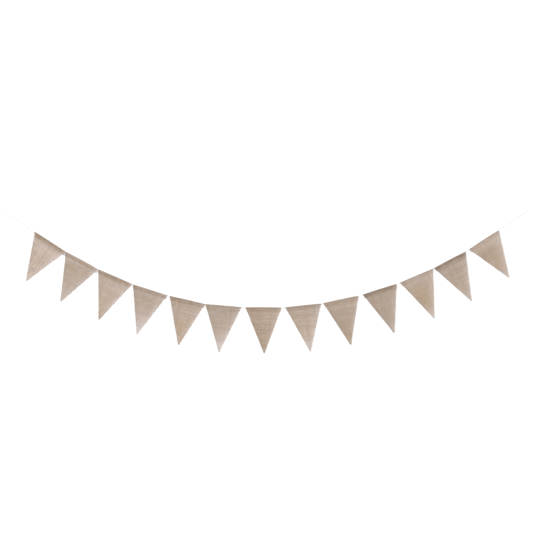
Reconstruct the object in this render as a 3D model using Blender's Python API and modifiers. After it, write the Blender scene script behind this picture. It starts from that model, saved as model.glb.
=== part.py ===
"""Hessian bunting: thirteen triangular pennants on one white cotton string, hung in a shallow curve.

Metres, +Z up. The bunting hangs in the XZ plane and its front faces -Y. The origin is the point where a hook
would hold the loop at the string's left end. Each pennant is one piece of hessian, folded to the back over
the string, and its sizes are a row of the table below, in millimetres.
"""

import math

import bmesh
import bpy
import numpy as np

MM = 0.001

# Cloth and string
CLOTH_THICKNESS = 1.2 * MM
STRING_RADIUS = 1.5 * MM
CLEARANCE = 0.3 * MM
FOLD_RADIUS = 2.55 * MM
FOLD_TOP = FOLD_RADIUS + CLOTH_THICKNESS / 2
BAND = 17 * MM
TIP_CUT = 3 * MM

# The string's centreline as it hangs, left end to right end: across and up from the left hook, in millimetres
ROUTE = [
    (35.9, -26.7),
    (66.3, -49.3),
    (110.6, -81.9),
    (153.5, -113.0),
    (199.9, -146.0),
    (316.7, -221.9),
    (444.0, -291.3),
    (576.7, -348.6),
    (715.2, -392.9),
    (854.5, -425.2),
    (1004.3, -437.6),
    (1158.9, -438.5),
    (1307.5, -422.7),
    (1456.4, -390.9),
    (1601.8, -345.1),
    (1737.2, -288.0),
    (1867.6, -218.9),
    (1991.3, -139.3),
    (2042.6, -103.2),
    (2079.3, -76.9),
    (2120.0, -47.7),
    (2150.8, -25.4),
]

# Pennants, left to right, in millimetres.
# start: where the fold begins along the string. width: along the fold. drop: fold to tip.
# shift: the tip from the fold's middle, to the right. flap_l, flap_r: how far the folded part shows past the
# slanted sides at its lower edge. side_l, side_r: how far a slanted side stands out below the fold.
# crown: rise of the fold's middle. bow: swell towards the front. lean: the tip towards the back.
# turn: the right side towards the front.
COLUMNS = (
    "start", "width", "drop", "shift", "flap_l", "flap_r", "side_l", "side_r", "crown", "bow", "lean", "turn",
)
PENNANTS = [
    (203, 141, 177, 5, 0.0, 2.4, -1.6, 0.0, 0.4, 5.0, 1.0, -3.0),
    (346, 141, 177, 3, 4.4, 3.4, 0.0, 0.0, 1.5, 3.5, -2.0, 1.0),
    (489, 141, 176, 7, 1.4, 2.2, -0.9, 0.0, 0.8, 4.0, 2.0, -2.0),
    (634, 138, 178, 4, 2.2, 2.8, 0.0, 0.0, 0.4, 4.5, -1.0, 2.0),
    (782, 139, 176, 6, 0.9, 2.5, 0.0, 0.0, 0.9, 3.5, 1.0, 0.0),
    (924, 138, 178, -2, 2.4, 0.8, 0.0, 0.0, 0.5, 3.0, -3.0, -1.5),
    (1079, 138, 176, 4, 0.9, 2.1, 0.0, 0.0, 0.8, 3.0, 0.0, 1.0),
    (1233, 137, 179, 9, 1.5, 1.7, 0.0, 0.0, 0.6, 4.0, 2.0, -2.5),
    (1380, 138, 178, 1, 1.3, 1.0, 0.0, 0.0, 0.8, 5.0, -1.0, 1.5),
    (1536, 136, 177, 3, 2.6, 1.4, 0.0, 0.0, 0.7, 4.0, 1.5, -1.0),
    (1687, 138, 177, -2, 2.6, 0.0, 0.0, -0.7, 0.5, 4.5, -2.0, 2.0),
    (1829, 136, 178, 1, 1.4, 1.0, 0.0, 0.0, 0.9, 4.0, 2.5, -1.5),
    (1984, 138, 173, 0, 3.4, 0.0, 0.0, -1.8, 1.2, 5.5, -1.0, 3.0),
]

# The cloth's section runs from the free edge at the back, up, over the string and down the front to the tip.
# CASING_SIDE is one side of it, as distances (behind the string, below it). FRONT_STEPS are distances below.
CASING_SIDE = [(0.85 * MM, 9.0 * MM), (2.1 * MM, 5.6 * MM), (2.55 * MM, 3.0 * MM), (2.55 * MM, 0.0)]
LAYER = 0.85 * MM
FRONT_STEPS = [30 * MM, 55 * MM, 85 * MM, 115 * MM, 145 * MM, 164 * MM]
FOLD_STEPS = 5
ACROSS_STEPS = 6
BOW_FROM = 10 * MM
BOW_FULL = 70 * MM
SIDE_FULL = 42 * MM
SIDE_ENDS = 68 * MM

# End loops, each tied in the string with a wrapped knot
KNOT_LENGTH = 10 * MM
KNOT_END_RADIUS = 3.0 * MM
KNOT_SWELL = 1.2 * MM
KNOT_RIDGE = 0.5 * MM
KNOT_TURNS = 3
KNOT_FACETS = 16
KNOT_RINGS = 18
KNOT_FLAT_SHARE = 0.17
LOOP_LENGTH = 36 * MM
LOOP_BEND = 6.3 * MM
LOOP_NECK = 1.8 * MM
LOOP_LEG_STEPS = 12
LOOP_BEND_STEPS = 9

# Reading along the string
STRING_STEP = 36 * MM
END_STEP = 5 * MM
CURVE_READS = 60

HESSIAN_COLOUR = (0.497, 0.392, 0.314, 1.0)
HESSIAN_ROUGHNESS = 0.95
COTTON_COLOUR = (0.86, 0.85, 0.83, 1.0)
COTTON_ROUGHNESS = 0.85


def clear_scene():
    for thing in list(bpy.data.objects):
        bpy.data.objects.remove(thing, do_unlink=True)


def finish(name, colour, roughness):
    material = bpy.data.materials.new(name)
    material.use_nodes = True
    shader = material.node_tree.nodes["Principled BSDF"]
    shader.inputs["Base Color"].default_value = colour
    shader.inputs["Roughness"].default_value = roughness
    shader.inputs["Metallic"].default_value = 0.0
    return material


def smoothstep(low, high, value):
    share = min(max((value - low) / (high - low), 0.0), 1.0)
    return share * share * (3 - 2 * share)


class HungString:
    """The smooth curve through the route's points, read by the distance along it."""

    def __init__(self, route):
        points = np.array(route) * MM
        chord = np.concatenate(([0.0], np.cumsum(np.linalg.norm(np.diff(points, axis=0), axis=1))))
        slope = np.gradient(points, chord, axis=0)
        share = np.linspace(0.0, 1.0, CURVE_READS, endpoint=False)[:, None]
        runs = []
        for here in range(len(points) - 1):
            span = chord[here + 1] - chord[here]
            rise = 3 * share**2 - 2 * share**3
            leave = (share**3 - 2 * share**2 + share) * span
            arrive = (share**3 - share**2) * span
            straight = (1 - rise) * points[here] + rise * points[here + 1]
            runs.append(straight + leave * slope[here] + arrive * slope[here + 1])
        self.line = np.vstack([*runs, points[-1:]])
        steps = np.linalg.norm(np.diff(self.line, axis=0), axis=1)
        self.along = np.concatenate(([0.0], np.cumsum(steps)))
        self.length = float(self.along[-1])

    def at(self, distance):
        return np.array([np.interp(distance, self.along, self.line[:, axis]) for axis in (0, 1)])


def tube(name, points, collection, material):
    """A round cord along the points, with filled ends."""
    data = bpy.data.curves.new(name, "CURVE")
    data.dimensions = "3D"
    data.bevel_depth = STRING_RADIUS
    data.bevel_resolution = 2
    data.use_fill_caps = True
    spline = data.splines.new("POLY")
    spline.points.add(len(points) - 1)
    for point, (across, up) in zip(spline.points, points):
        point.co = (across, 0.0, up, 1.0)
    data.materials.append(material)
    cord = bpy.data.objects.new(name, data)
    collection.objects.link(cord)


def solid_from(work, name, collection, material):
    """The object for a mesh that is ready, smooth shaded."""
    for face in work.faces:
        face.smooth = True
    mesh = bpy.data.meshes.new(name)
    work.to_mesh(mesh)
    work.free()
    mesh.materials.append(material)
    solid = bpy.data.objects.new(name, mesh)
    collection.objects.link(solid)
    return solid


def section(drop):
    """The cloth's path round the string as (behind, below, on the flap), from the free edge to the tip."""
    band_end = BAND - FOLD_TOP
    path = [(LAYER, band_end, True)] + [(behind, below, True) for behind, below in CASING_SIDE]
    for step in range(1, FOLD_STEPS):
        angle = math.pi * step / FOLD_STEPS
        path.append((FOLD_RADIUS * math.cos(angle), -FOLD_RADIUS * math.sin(angle), angle < math.pi / 2))
    path += [(-behind, below, False) for behind, below in reversed(CASING_SIDE)]
    path += [(-LAYER, below, False) for below in (band_end, *FRONT_STEPS, drop - FOLD_TOP)]
    return path


def edges(size, fall, on_flap):
    """Where the cloth's two sides are, from the fold's middle, at this distance below the fold's top."""
    share = fall / (size["drop"] + TIP_CUT)
    half = size["width"] / 2
    left = -half + (half + size["shift"]) * share
    right = half - (half - size["shift"]) * share
    near_fold = 1 - smoothstep(SIDE_FULL, SIDE_ENDS, fall)
    left -= size["side_l"] * near_fold
    right += size["side_r"] * near_fold
    if on_flap:
        left -= size["flap_l"] * fall / BAND
        right += size["flap_r"] * fall / BAND
    return left, right


def cloth_point(size, frame, share, behind, below, on_flap):
    """A point of the cloth: share runs from 0 at its left side to 1 at its right."""
    middle, along, down = frame
    fall = below + FOLD_TOP
    left, right = edges(size, fall, on_flap)
    across = left + (right - left) * share
    belly = 1 - (2 * share - 1) ** 2
    depth = fall / size["drop"]
    swell = size["bow"] * smoothstep(BOW_FROM, BOW_FULL, fall) * (right - left) / size["width"]
    turned = size["turn"] * (share - 0.5) * 4 * depth * (1 - depth) * smoothstep(0, BAND, fall)
    back = behind - swell * belly - turned + size["lean"] * depth**2
    place = middle + along * across + down * (below - size["crown"] * belly * (1 - depth))
    return (place[0], back, place[1])


def pennant(name, size, string, collection, material):
    """One folded piece of hessian: a grid laid over the string, then given its thickness."""
    left = string.at(size["start"])
    right = string.at(size["start"] + size["width"])
    along = (right - left) / np.linalg.norm(right - left)
    frame = ((left + right) / 2, along, np.array([along[1], -along[0]]))
    path = section(size["drop"])
    rows = len(path) - 1
    work = bmesh.new()
    bmesh.ops.create_grid(work, x_segments=ACROSS_STEPS, y_segments=rows, size=1.0)
    for vertex in work.verts:
        share = (vertex.co.x + 1) / 2
        step = round((vertex.co.y + 1) / 2 * rows)
        vertex.co = cloth_point(size, frame, share, *path[step])
    cloth = solid_from(work, name, collection, material)
    thickness = cloth.modifiers.new("Thickness", "SOLIDIFY")
    thickness.thickness = CLOTH_THICKNESS
    thickness.offset = 0.0
    thickness.use_even_offset = True


def knot(name, start, along, collection, material):
    """A wrapped knot: a sphere drawn into a barrel with flat ends and slanting ridges, along a direction."""
    side = np.array([-along[1], along[0]])
    work = bmesh.new()
    bmesh.ops.create_uvsphere(work, u_segments=KNOT_FACETS, v_segments=KNOT_RINGS, radius=1.0)
    for vertex in work.verts:
        around = math.atan2(vertex.co.y, vertex.co.x)
        share = math.acos(max(-1.0, min(1.0, vertex.co.z))) / math.pi
        out = min(max((share - KNOT_FLAT_SHARE) / (1 - 2 * KNOT_FLAT_SHARE), 0.0), 1.0)
        end_share = min(share, 1 - share, KNOT_FLAT_SHARE) / KNOT_FLAT_SHARE
        belly = math.sqrt(max(math.sin(math.pi * out), 0.0))
        ridge = KNOT_RIDGE * math.cos(2 * math.pi * KNOT_TURNS * out + around)
        radius = KNOT_END_RADIUS * end_share + (KNOT_SWELL + ridge) * belly
        place = start + along * KNOT_LENGTH * out + side * radius * math.cos(around)
        vertex.co = (place[0], radius * math.sin(around), place[1])
    solid_from(work, name, collection, material)


def loop_points(start, along):
    """A teardrop: out from the knot, round the hook and back, with a point about every 2.5 mm."""
    side = np.array([-along[1], along[0]])
    straight = LOOP_LENGTH - LOOP_BEND
    leg = []
    for step in range(LOOP_LEG_STEPS):
        out = straight * step / LOOP_LEG_STEPS
        leg.append((out, LOOP_NECK + (LOOP_BEND - LOOP_NECK) * smoothstep(0, straight, out)))
    bend = []
    for step in range(LOOP_BEND_STEPS + 1):
        angle = math.pi * step / LOOP_BEND_STEPS
        bend.append((straight + LOOP_BEND * math.sin(angle), LOOP_BEND * math.cos(angle)))
    back = [(out, -away) for out, away in reversed(leg)]
    return [start + along * out + side * away for out, away in leg + bend + back]


def end_loop(word, string_end, inner, collection, material):
    """The knot and the loop beyond one end of the string, in line with the string there."""
    along = (string_end - inner) / np.linalg.norm(string_end - inner)
    knot_start = string_end + along * CLEARANCE
    knot("knot_" + word, knot_start, along, collection, material)
    loop_start = knot_start + along * (KNOT_LENGTH + CLEARANCE)
    tube("loop_" + word, loop_points(loop_start, along), collection, material)


def string_points(string, pennants):
    """Points along the string, with one at each end of every pennant and the rest spread between those."""
    stops = [0.0]
    for size in pennants:
        stops += [size["start"], size["start"] + size["width"]]
    stops.append(string.length)
    places = []
    for here, there in zip(stops, stops[1:]):
        steps = max(1, round((there - here) / STRING_STEP))
        places += [here + (there - here) * step / steps for step in range(steps)]
    return [string.at(place) for place in [*places, string.length]]


clear_scene()
bunting = bpy.data.collections.new("bunting")
bpy.context.scene.collection.children.link(bunting)
hessian = finish("hessian", HESSIAN_COLOUR, HESSIAN_ROUGHNESS)
cotton = finish("cotton_string", COTTON_COLOUR, COTTON_ROUGHNESS)

hung = HungString(ROUTE)
sizes = [dict(zip(COLUMNS, [value * MM for value in row])) for row in PENNANTS]
tube("string", string_points(hung, sizes), bunting, cotton)
for number, one in enumerate(sizes, 1):
    pennant(f"pennant_{number:02d}", one, hung, bunting, hessian)
end_loop("left", hung.at(0.0), hung.at(END_STEP), bunting, cotton)
end_loop("right", hung.at(hung.length), hung.at(hung.length - END_STEP), bunting, cotton)
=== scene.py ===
"""Looks of a hessian bunting: thirteen pennants, woven yarn by yarn, folded over a twisted cotton string.

Metres, +Z up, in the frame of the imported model: the origin is the hook point of the left loop, and the front
faces -Y. Sizes are written in millimetres and turned into metres where they are used.
"""

import math

import bmesh
import bpy
import numpy as np
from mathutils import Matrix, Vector


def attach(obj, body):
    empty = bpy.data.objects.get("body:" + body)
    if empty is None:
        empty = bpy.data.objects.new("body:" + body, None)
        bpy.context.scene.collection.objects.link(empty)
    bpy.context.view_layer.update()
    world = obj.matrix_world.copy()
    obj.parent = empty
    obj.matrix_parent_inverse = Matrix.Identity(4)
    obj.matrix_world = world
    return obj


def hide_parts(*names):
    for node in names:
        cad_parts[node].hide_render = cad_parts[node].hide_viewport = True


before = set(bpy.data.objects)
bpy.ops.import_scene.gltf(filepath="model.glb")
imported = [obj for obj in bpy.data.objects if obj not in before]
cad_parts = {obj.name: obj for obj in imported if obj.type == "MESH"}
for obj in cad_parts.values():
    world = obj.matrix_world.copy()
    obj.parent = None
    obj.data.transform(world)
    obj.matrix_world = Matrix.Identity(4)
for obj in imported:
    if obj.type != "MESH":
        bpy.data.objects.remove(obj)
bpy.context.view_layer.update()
MM = 0.001

# The view
# Square to the bunting and level with its middle, from far enough away that the pennants at the two ends
# show no more of their sides than those in the middle.
VIEW_MIDDLE = (1093.3 * MM, -278.0 * MM)
VIEW_WIDTH = 2052 * MM
LENS = 85.0
SENSOR = 36.0

view = bpy.data.cameras.new("camera")
view.lens = LENS
view.sensor_width = SENSOR
view.clip_end = 60.0
camera = bpy.data.objects.new("camera", view)
camera.location = (VIEW_MIDDLE[0], -VIEW_WIDTH * LENS / SENSOR, VIEW_MIDDLE[1])
camera.rotation_euler = (math.radians(90), 0.0, 0.0)
bpy.context.scene.collection.objects.link(camera)
bpy.context.scene.camera = camera

# The string
# One length of white cotton cord, three strands laid up together to 3 mm. It runs through the casings of all
# the pennants and hangs between its two ends in a shallow curve, straighter where a pennant holds it.
ROUTE = [
    (35.9, -26.7),
    (66.3, -49.3),
    (110.6, -81.9),
    (153.5, -113.0),
    (199.9, -146.0),
    (316.7, -221.9),
    (444.0, -291.3),
    (576.7, -348.6),
    (715.2, -392.9),
    (854.5, -425.2),
    (1004.3, -437.6),
    (1158.9, -438.5),
    (1307.5, -422.7),
    (1456.4, -390.9),
    (1601.8, -345.1),
    (1737.2, -288.0),
    (1867.6, -218.9),
    (1991.3, -139.3),
    (2042.6, -103.2),
    (2079.3, -76.9),
    (2120.0, -47.7),
    (2150.8, -25.4),
]
STRING_DIAMETER = 3.0 * MM
CORD_SIZES = {
    "Strand radius": 0.79 * MM,
    "Strand offset": 0.76 * MM,
    "Lay length": 9.0 * MM,
    "Ring step": 1.4 * MM,
}
STRANDS = 3
STRAND_SIDES = 6
PATH_STEP = 6.0 * MM
CURVE_READS = 60
COTTON_COLOUR = (0.98, 0.98, 0.985, 1.0)
COTTON_SHADE = (0.87, 0.875, 0.88, 1.0)
SHADED_SHARE = 0.35
COTTON_SPUN = {"Plies": 5.0, "Lay length": -3.0 * MM, "Streak size": 0.8 * MM, "Fineness": 1.4}
DULL_FROM = 900 * MM
DULL_TO = 2100 * MM
DULLEST = 0.87


class SmoothLine:
    """A smooth curve through its points, read by the distance along it."""

    def __init__(self, points):
        points = np.array(points, float)
        chord = np.concatenate(([0.0], np.cumsum(np.linalg.norm(np.diff(points, axis=0), axis=1))))
        slope = np.gradient(points, chord, axis=0)
        share = np.linspace(0.0, 1.0, CURVE_READS, endpoint=False)[:, None]
        runs = []
        for here in range(len(points) - 1):
            span = chord[here + 1] - chord[here]
            rise = 3 * share**2 - 2 * share**3
            leave = (share**3 - 2 * share**2 + share) * span
            arrive = (share**3 - share**2) * span
            straight = (1 - rise) * points[here] + rise * points[here + 1]
            runs.append(straight + leave * slope[here] + arrive * slope[here + 1])
        self.line = np.vstack([*runs, points[-1:]])
        steps = np.linalg.norm(np.diff(self.line, axis=0), axis=1)
        self.along = np.concatenate(([0.0], np.cumsum(steps)))
        self.length = float(self.along[-1])

    def at(self, distance):
        """The place at one or more distances along the line."""
        across, up = (np.interp(distance, self.along, self.line[:, axis]) for axis in (0, 1))
        return np.stack([across, up], axis=-1)


def new_tree(name, kind, inputs, outputs):
    """A node tree with those named inputs and outputs, and the sockets to read and to fill inside it."""
    tree = bpy.data.node_groups.new(name, kind)
    for word, socket in inputs:
        tree.interface.new_socket(name=word, in_out="INPUT", socket_type=socket)
    for word, socket in outputs:
        tree.interface.new_socket(name=word, in_out="OUTPUT", socket_type=socket)
    return tree, tree.nodes.new("NodeGroupInput").outputs, tree.nodes.new("NodeGroupOutput").inputs


def shape_tree(name, source, sizes, whole_numbers=()):
    """A geometry tree that turns its source into a shape, with the sizes and the material as named inputs."""
    sockets = [(source, "NodeSocketGeometry")]
    sockets += [(word, "NodeSocketFloat") for word in sizes]
    sockets += [(word, "NodeSocketInt") for word in whole_numbers]
    sockets.append(("Material", "NodeSocketMaterial"))
    return new_tree(name, "GeometryNodeTree", sockets, [("Shape", "NodeSocketGeometry")])


def add_node(tree, kind, inputs=None, **settings):
    """A node with its settings made and its inputs given, as plain values or as other nodes' outputs."""
    made = tree.nodes.new(kind)
    for word, value in settings.items():
        setattr(made, word, value)
    for socket, value in (inputs or {}).items():
        if isinstance(value, bpy.types.NodeSocket):
            tree.links.new(value, made.inputs[socket])
        else:
            made.inputs[socket].default_value = value
    return made


def shape(tree, kind, inputs=None, **settings):
    """What a geometry node makes."""
    return add_node(tree, "GeometryNode" + kind, inputs, **settings).outputs[0]


def figure(tree, operation, *values):
    """The result of one sum on plain values or other nodes' outputs."""
    return add_node(tree, "ShaderNodeMath", dict(enumerate(values)), operation=operation).outputs[0]


def plus(tree, first, second):
    return figure(tree, "ADD", first, second)


def minus(tree, first, second):
    return figure(tree, "SUBTRACT", first, second)


def times(tree, first, second):
    return figure(tree, "MULTIPLY", first, second)


def times_plus(tree, first, second, third):
    return figure(tree, "MULTIPLY_ADD", first, second, third)


def arrow(tree, x, y, z):
    """A vector of three values."""
    return add_node(tree, "ShaderNodeCombineXYZ", {0: x, 1: y, 2: z}).outputs[0]


def parts_of(tree, vector):
    """The three values of a vector."""
    return add_node(tree, "ShaderNodeSeparateXYZ", {0: vector}).outputs


def arrows(tree, operation, *vectors):
    """The result of one sum on vectors."""
    return add_node(tree, "ShaderNodeVectorMath", dict(enumerate(vectors)), operation=operation).outputs[0]


def scaled(tree, vector, scale):
    """A vector, so many times as long."""
    return add_node(tree, "ShaderNodeVectorMath", {0: vector, "Scale": scale}, operation="SCALE").outputs[0]


def named(tree, word, kind="FLOAT"):
    """A named attribute, read in a geometry tree."""
    return shape(tree, "InputNamedAttribute", {"Name": word}, data_type=kind)


def keep(tree, geometry, word, value, kind="FLOAT"):
    """The geometry with that value kept on its points as a named attribute."""
    inputs = {"Geometry": geometry, "Name": word, "Value": value}
    return shape(tree, "StoreNamedAttribute", inputs, data_type=kind, domain="POINT")


def measured(tree, curve):
    """The curve with the distance along it kept on its points."""
    return keep(tree, curve, "along", tree.nodes.new("GeometryNodeSplineParameter").outputs["Length"])


def ring(tree, sides):
    """A round profile of radius 1 that keeps the place of each of its corners."""
    circle = shape(tree, "CurvePrimitiveCircle", {"Resolution": sides, "Radius": 1.0})
    return keep(tree, circle, "profile", shape(tree, "InputPosition"), "FLOAT_VECTOR")


def finished(tree, geometry, given, made):
    """The end of every geometry tree: smooth shading, real meshes in place of instances, and the material."""
    smooth = shape(tree, "SetShadeSmooth", {"Geometry": geometry})
    real = shape(tree, "RealizeInstances", {"Geometry": smooth})
    dressed = shape(tree, "SetMaterial", {"Geometry": real, "Material": given["Material"]})
    tree.links.new(dressed, made["Shape"])
    return tree


def made_by(tree, name, source, **values):
    """A plain mesh object: what the tree makes of the source mesh."""
    guide = bpy.data.objects.new("guide", source)
    modifier = guide.modifiers.new("Nodes", "NODES")
    modifier.node_group = tree
    for socket in tree.interface.items_tree:
        if socket.in_out == "INPUT" and socket.name in values:
            modifier[socket.identifier] = values[socket.name]
    bpy.context.scene.collection.objects.link(guide)
    bpy.context.view_layer.update()
    seen = guide.evaluated_get(bpy.context.evaluated_depsgraph_get())
    mesh = bpy.data.meshes.new_from_object(seen)
    mesh.name = name
    bpy.data.objects.remove(guide)
    piece = bpy.data.objects.new(name, mesh)
    bpy.context.scene.collection.objects.link(piece)
    return piece


def line_mesh(*lines):
    """A mesh of bare edges along one or more lines of points."""
    points, steps = [], []
    for line in lines:
        first = len(points)
        points += [tuple(point) for point in line]
        steps += [(first + step, first + step + 1) for step in range(len(line) - 1)]
    mesh = bpy.data.meshes.new("line")
    mesh.from_pydata(points, steps, [])
    return mesh


def cord_tree():
    """Three strands laid up round every line of the source."""
    tree, given, made = shape_tree("three-strand cord", "Lines", CORD_SIZES)
    curve = shape(tree, "MeshToCurve", {"Mesh": given["Lines"]})
    curve = shape(tree, "ResampleCurve", {"Curve": curve, "Length": given["Ring step"]}, mode="LENGTH")
    curve = measured(tree, curve)
    turn = times(tree, figure(tree, "DIVIDE", named(tree, "along"), given["Lay length"]), math.tau)
    curve = shape(tree, "SetCurveTilt", {"Curve": curve, "Tilt": turn})
    corners = shape(tree, "MeshCircle", {"Vertices": STRANDS, "Radius": given["Strand offset"]})
    scale = arrow(tree, given["Strand radius"], given["Strand radius"], 1.0)
    inputs = {"Points": corners, "Instance": ring(tree, STRAND_SIDES), "Scale": scale}
    strands = shape(tree, "RealizeInstances", {"Geometry": shape(tree, "InstanceOnPoints", inputs)})
    inputs = {"Curve": curve, "Profile Curve": strands, "Fill Caps": True}
    return finished(tree, shape(tree, "CurveToMesh", inputs), given, made)


def attribute(tree, word, output="Fac"):
    """A named attribute, read in a material."""
    return add_node(tree, "ShaderNodeAttribute", attribute_name=word).outputs[output]


def spun_group():
    """Spun fibre: the slanting ridges of a twisted yarn and the fine streaks of its fibres."""
    sockets = [(word, "NodeSocketFloat") for word in COTTON_SPUN]
    outputs = [("Ridge", "NodeSocketFloat"), ("Streak", "NodeSocketFloat")]
    tree, given, made = new_tree("spun fibre", "ShaderNodeTree", sockets, outputs)
    along = attribute(tree, "along")
    parts = parts_of(tree, attribute(tree, "profile", "Vector"))
    angle = figure(tree, "ARCTAN2", parts[1], parts[0])
    climb = times(tree, figure(tree, "DIVIDE", along, given["Lay length"]), math.tau)
    phase = plus(tree, times(tree, angle, given["Plies"]), climb)
    tree.links.new(times_plus(tree, figure(tree, "SINE", phase), 0.5, 0.5), made["Ridge"])
    far = figure(tree, "DIVIDE", along, given["Streak size"])
    around = [times(tree, figure(tree, way, phase), given["Fineness"]) for way in ("SINE", "COSINE")]
    inputs = {"Vector": arrow(tree, far, *around), "Scale": 1.0, "Detail": 4.0, "Roughness": 0.6}
    tree.links.new(add_node(tree, "ShaderNodeTexNoise", inputs).outputs[0], made["Streak"])
    return tree


SPUN_FIBRE = spun_group()
CORD_TREE = cord_tree()


def spun(tree, sizes):
    """The spun fibre effect, placed in a material with its own sizes."""
    return add_node(tree, "ShaderNodeGroup", sizes, node_tree=SPUN_FIBRE).outputs


def blended(tree, share, first, second):
    """A mix of two colours, each a plain colour or another node's output."""
    inputs = {0: share, 6: first, 7: second}
    return add_node(tree, "ShaderNodeMix", inputs, data_type="RGBA").outputs[2]


def cloth_shader(name, roughness, sheen):
    """A material with a matt Principled shader, its roughness and sheen set on the shader's own sockets."""
    material = bpy.data.materials.new(name)
    material.use_nodes = True
    shader = material.node_tree.nodes["Principled BSDF"]
    shader.inputs["Roughness"].default_value = roughness
    shader.inputs["Sheen Weight"].default_value = sheen
    shader.inputs["Sheen Roughness"].default_value = 0.5
    shader.inputs["Specular IOR Level"].default_value = 0.25
    return material, material.node_tree, shader


def set_surface(tree, shader, colour, height, strength, depth):
    """The colour and the fine relief of a surface, given to its shader."""
    tree.links.new(colour, shader.inputs["Base Color"])
    bump = add_node(tree, "ShaderNodeBump", {"Height": height, "Strength": strength, "Distance": depth})
    tree.links.new(bump.outputs[0], shader.inputs["Normal"])


def cotton_material():
    """White cotton cord: soft, with fine slanting fibres, and a little duller towards the right-hand end."""
    material, tree, shader = cloth_shader("cotton_string", roughness=0.85, sheen=0.2)
    fibre = spun(tree, COTTON_SPUN)
    colour = blended(tree, times(tree, fibre["Streak"], SHADED_SHARE), COTTON_COLOUR, COTTON_SHADE)
    place = tree.nodes.new("ShaderNodeTexCoord").outputs["Object"]
    inputs = {0: parts_of(tree, place)[0], 1: DULL_FROM, 2: DULL_TO, 3: 1.0, 4: DULLEST}
    dull = add_node(tree, "ShaderNodeMapRange", inputs).outputs[0]
    height = plus(tree, fibre["Ridge"], fibre["Streak"])
    set_surface(tree, shader, scaled(tree, colour, dull), height, strength=0.5, depth=0.1 * MM)
    return material


def cord_piece(name, node, *lines):
    """A piece of the cord along one or more lines, in place of its CAD node."""
    piece = made_by(CORD_TREE, name, line_mesh(*lines), Material=COTTON, **CORD_SIZES)
    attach(piece, "root")
    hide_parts(node)
    return piece


def in_plane(flat_points):
    """Points across and up, placed in the plane in which the string hangs."""
    return [(across, 0.0, up) for across, up in flat_points]


COTTON = cotton_material()
string_line = SmoothLine(np.array(ROUTE) * MM)
path_reads = np.linspace(0, string_line.length, round(string_line.length / PATH_STEP))
string_path = in_plane(string_line.at(path_reads))
string_cord = cord_piece("string_cord", "string", string_path)

# The end loops
# At each end the string is turned back into a loop for a hook, and its end is wrapped three times round the
# neck of the loop and pulled tight. A short cut end stands out of the knot.
KNOT_LENGTH = 10.0 * MM
KNOT_GAP = 0.3 * MM
KNOT_TURNS = 3
WRAP_RADIUS = 2.9 * MM
WRAP_ENDS = 1.7 * MM
WRAP_DRAWN_IN = 0.45
WRAP_STEPS = 24
LOOP_LENGTH = 36.0 * MM
LOOP_BEND = 6.3 * MM
LOOP_NECK = 1.8 * MM
LOOP_LEG_STEPS = 24
LOOP_BEND_STEPS = 18
TAIL = [(4.0 * MM, 2.0 * MM, 0.0), (0.0, 3.2 * MM, 0.4 * MM), (-9.0 * MM, 4.7 * MM, 1.5 * MM)]
END_READ = 5.0 * MM


def smoothstep(low, high, value):
    """Smoothly from 0 at the low value to 1 at the high one."""
    share = np.clip((value - low) / (high - low), 0.0, 1.0)
    return share * share * (3 - 2 * share)


def placed(start, along, points):
    """Points given as (out, sideways, towards the front), turned to lie along the string's end."""
    side = np.array([-along[1], along[0]])
    found = []
    for out, away, near in points:
        across, up = start + along * out + side * away
        found.append((across, -near, up))
    return found


def wraps():
    """The turns round the neck of the loop, drawn in at their ends."""
    points = []
    for step in range(KNOT_TURNS * WRAP_STEPS + 1):
        share = step / (KNOT_TURNS * WRAP_STEPS)
        angle = math.tau * KNOT_TURNS * share
        ends = min(share, 1 - share) * KNOT_TURNS
        radius = WRAP_ENDS + (WRAP_RADIUS - WRAP_ENDS) * float(smoothstep(0, WRAP_DRAWN_IN, ends))
        out = STRING_DIAMETER / 2 + (KNOT_LENGTH - STRING_DIAMETER) * share
        points.append((out, radius * math.sin(angle), radius * math.cos(angle)))
    return points


def loop_points():
    """A teardrop out from the knot, round the hook and back."""
    straight = LOOP_LENGTH - LOOP_BEND
    leg = []
    for step in range(LOOP_LEG_STEPS):
        out = straight * step / LOOP_LEG_STEPS
        wider = float(smoothstep(0, straight, out))
        leg.append((out, LOOP_NECK + (LOOP_BEND - LOOP_NECK) * wider, 0.0))
    bend = []
    for step in range(LOOP_BEND_STEPS + 1):
        angle = math.pi * step / LOOP_BEND_STEPS
        bend.append((straight + LOOP_BEND * math.sin(angle), LOOP_BEND * math.cos(angle), 0.0))
    return leg + bend + [(out, -away, near) for out, away, near in reversed(leg)]


for word, end, inner in (
    ("left", 0.0, END_READ),
    ("right", string_line.length, string_line.length - END_READ),
):
    string_end = string_line.at(end)
    along = string_end - string_line.at(inner)
    along /= np.linalg.norm(along)
    knot_start = string_end + along * KNOT_GAP
    core = [(0.0, 0.0, 0.0), (KNOT_LENGTH, 0.0, 0.0)]
    knot_lines = [placed(knot_start, along, points) for points in (wraps(), core, TAIL)]
    cord_piece("wrapped_knot_" + word, "knot_" + word, *knot_lines)
    loop_start = knot_start + along * (KNOT_LENGTH + KNOT_GAP)
    loop_line = placed(loop_start, along, loop_points())
    cord_piece("hook_loop_" + word, "loop_" + word, loop_line)

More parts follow.
